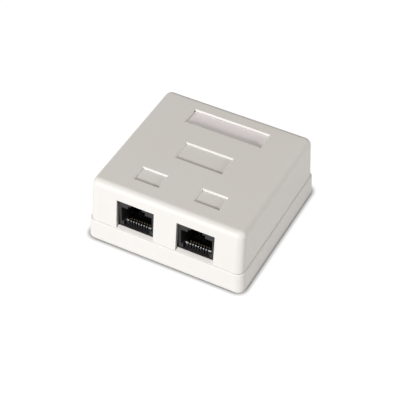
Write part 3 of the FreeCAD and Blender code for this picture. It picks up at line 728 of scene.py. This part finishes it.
def makePane():
    # from the underside up: rounded lower edge, straight side, quarter-circle upper edge, then a shallow dish whose
    # depth grows as one minus the square of the distance left to the middle line
    low, high = (np.array(corner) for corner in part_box("label_window"))
    turn = np.linspace(0, math.pi / 2, pane["steps"])
    rounding = pane["rounding"]
    inwards = np.linspace(0, pane["dishEnd"], pane["dishLoops"])
    middle = (high[1] - low[1]) / 2 + pane["grow"]
    insets = np.concatenate([[rounding, 0], rounding * (1 - np.cos(turn)),
                             pane["rim"] + (middle - pane["rim"]) * inwards])
    heights = np.concatenate([[low[2], low[2] + rounding], high[2] - rounding * (1 - np.sin(turn)),
                              high[2] - pane["dish"] * (1 - (1 - inwards) ** 2)])
    loops = roundedLoops(low[:2] - pane["grow"], high[:2] + pane["grow"], insets, heights,
                         pane["corner"], pane["leastCorner"], pane["steps"])
    sheet = gridPiece("label_pane", [loops], bodyOf["label_window"],
                      finishes["window_plastic"], pane["crease"])
    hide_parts("label_window")


print("stage: label window")
makePane()


# floor, light and camera

studio = {
    "floorSize": 3.0,
    "floorDrop": 0.00001,
    "underInset": 0.0012,
    "floorColour": (0.45, 0.45, 0.45, 1.0),
    "shadowColour": (0.12, 0.12, 0.12, 1.0),
    # painted contact shadow on the seen floor: how near the object it reaches, how finely it is sampled and how dark
    # it grows
    "contactReach": 0.0021,
    "contactSamples": 16,
    "paintedShadowDarkness": 1.85,
    "floorSeen": 0.97,
    "world": 0.29,
    "worldTint": (1.03, 0.915, 0.81, 1.0),
    "white": (1.0, 1.0, 1.0, 1.0),
    "aim": (0.0, 0.0, 0.012),
    "lamps": {
        "front": {"azimuth": -16.0, "elevation": 21.0, "distance": 1.6, "size": 0.36, "power": 20.9},
        "side": {"azimuth": 100.0, "elevation": 12.0, "distance": 1.6, "size": 0.4, "power": 7.4},
    },
}


def towards(azimuth, elevation):
    # a unit vector from the object: azimuth 0 is straight in front and 90 is to the right
    a, e = math.radians(azimuth), math.radians(elevation)
    return Vector((math.sin(a) * math.cos(e), -math.cos(a) * math.cos(e), math.sin(e)))


seenRays = ("Is Camera Ray", "Is Glossy Ray", "Is Transmission Ray")


def seen(paint):
    # 1 for what shows directly, in a reflection or through the window, and 0 for light that falls on the object
    rays = [paint.node("ShaderNodeLightPath", {}, [], ray) for ray in seenRays]
    return sum(rays[1:], rays[0]).clamped()


def makeFloor():
    # where it is seen the floor is white, with a painted contact shadow: it darkens by closeness where the object
    # nearly touches it, over a faint real shadow from the lamps
    paint = newPaint("floorPaint")
    clear = paint.openness(studio["contactReach"], studio["contactSamples"])
    pale = (1 - (1 - clear) * studio["paintedShadowDarkness"]).clamped() * studio["floorSeen"]
    plain = paint.node("ShaderNodeBsdfDiffuse", {}, {"Color": studio["floorColour"]})
    shadow = paint.node("ShaderNodeBsdfDiffuse", {}, {"Color": studio["shadowColour"]})
    glow = paint.node("ShaderNodeEmission", {}, {"Color": studio["white"], "Strength": pale})
    lit = paint.node("ShaderNodeAddShader", {}, [shadow, glow])
    mixed = paint.node("ShaderNodeMixShader", {}, [seen(paint), plain, lit])
    # a frame of four panels: the floor is open under the base, so the underside can be looked at
    low, high = (np.array(corner)[:2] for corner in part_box("base"))
    corners = np.array([(-1, -1), (1, -1), (1, 1), (-1, 1)])
    outer = corners * studio["floorSize"] / 2
    inner = (low + high) / 2 + corners * ((high - low) / 2 - studio["underInset"])
    flat = np.concatenate([outer, inner])
    points = np.column_stack([flat, np.full(len(flat), -studio["floorDrop"])])
    mesh = bpy.data.meshes.new("floor")
    mesh.from_pydata(points.tolist(), [], netFaces(2, len(corners)).tolist())
    floor = bpy.data.objects.new("floor", mesh)
    bpy.context.scene.collection.objects.link(floor)
    mesh.materials.append(paint.output("ShaderNodeOutputMaterial", mixed))


def makeWorld():
    # a dim warm fill on the object, and white where it is seen
    paint = Paint(bpy.data.worlds.new("studio"))
    fill = paint.node("ShaderNodeBackground", {}, {"Color": studio["worldTint"], "Strength": studio["world"]})
    backdrop = paint.node("ShaderNodeBackground", {}, {"Color": studio["white"]})
    mixed = paint.node("ShaderNodeMixShader", {}, [seen(paint), fill, backdrop])
    bpy.context.scene.world = paint.output("ShaderNodeOutputWorld", mixed)


def makeLamps():
    for name, lamp in studio["lamps"].items():
        data = bpy.data.lights.new(name, "AREA")
        data.shape = "DISK"
        data.size = lamp["size"]
        data.energy = lamp["power"]
        direction = towards(lamp["azimuth"], lamp["elevation"])
        light = bpy.data.objects.new(name, data)
        light.location = Vector(studio["aim"]) + direction * lamp["distance"]
        light.rotation_euler = direction.to_track_quat("Z", "Y").to_euler()
        bpy.context.scene.collection.objects.link(light)


view = {
    "position": (0.15813, -0.31572, 0.34500),
    "azimuth": 26.788,
    "elevation": 43.872,
    "roll": 1.032,
    "lens": 122.34,
    "sensor": 36.0,
    "clipStart": 0.01,
}


def makeCamera():
    back = towards(view["azimuth"], view["elevation"])
    across = Vector((0, 0, 1)).cross(back).normalized()
    upward = back.cross(across)
    roll = math.radians(view["roll"])
    right = math.cos(roll) * across + math.sin(roll) * upward
    above = math.cos(roll) * upward - math.sin(roll) * across
    data = bpy.data.cameras.new("camera")
    data.lens = view["lens"]
    data.sensor_width = view["sensor"]
    data.clip_start = view["clipStart"]
    camera = bpy.data.objects.new("camera", data)
    turned = Matrix((right, above, back)).transposed().to_4x4()
    camera.matrix_world = Matrix.Translation(Vector(view["position"])) @ turned
    bpy.context.scene.collection.objects.link(camera)
    bpy.context.scene.camera = camera


print("stage: studio")
makeFloor()
makeWorld()
makeLamps()
makeCamera()
bpy.context.scene.view_settings.view_transform = "Standard"
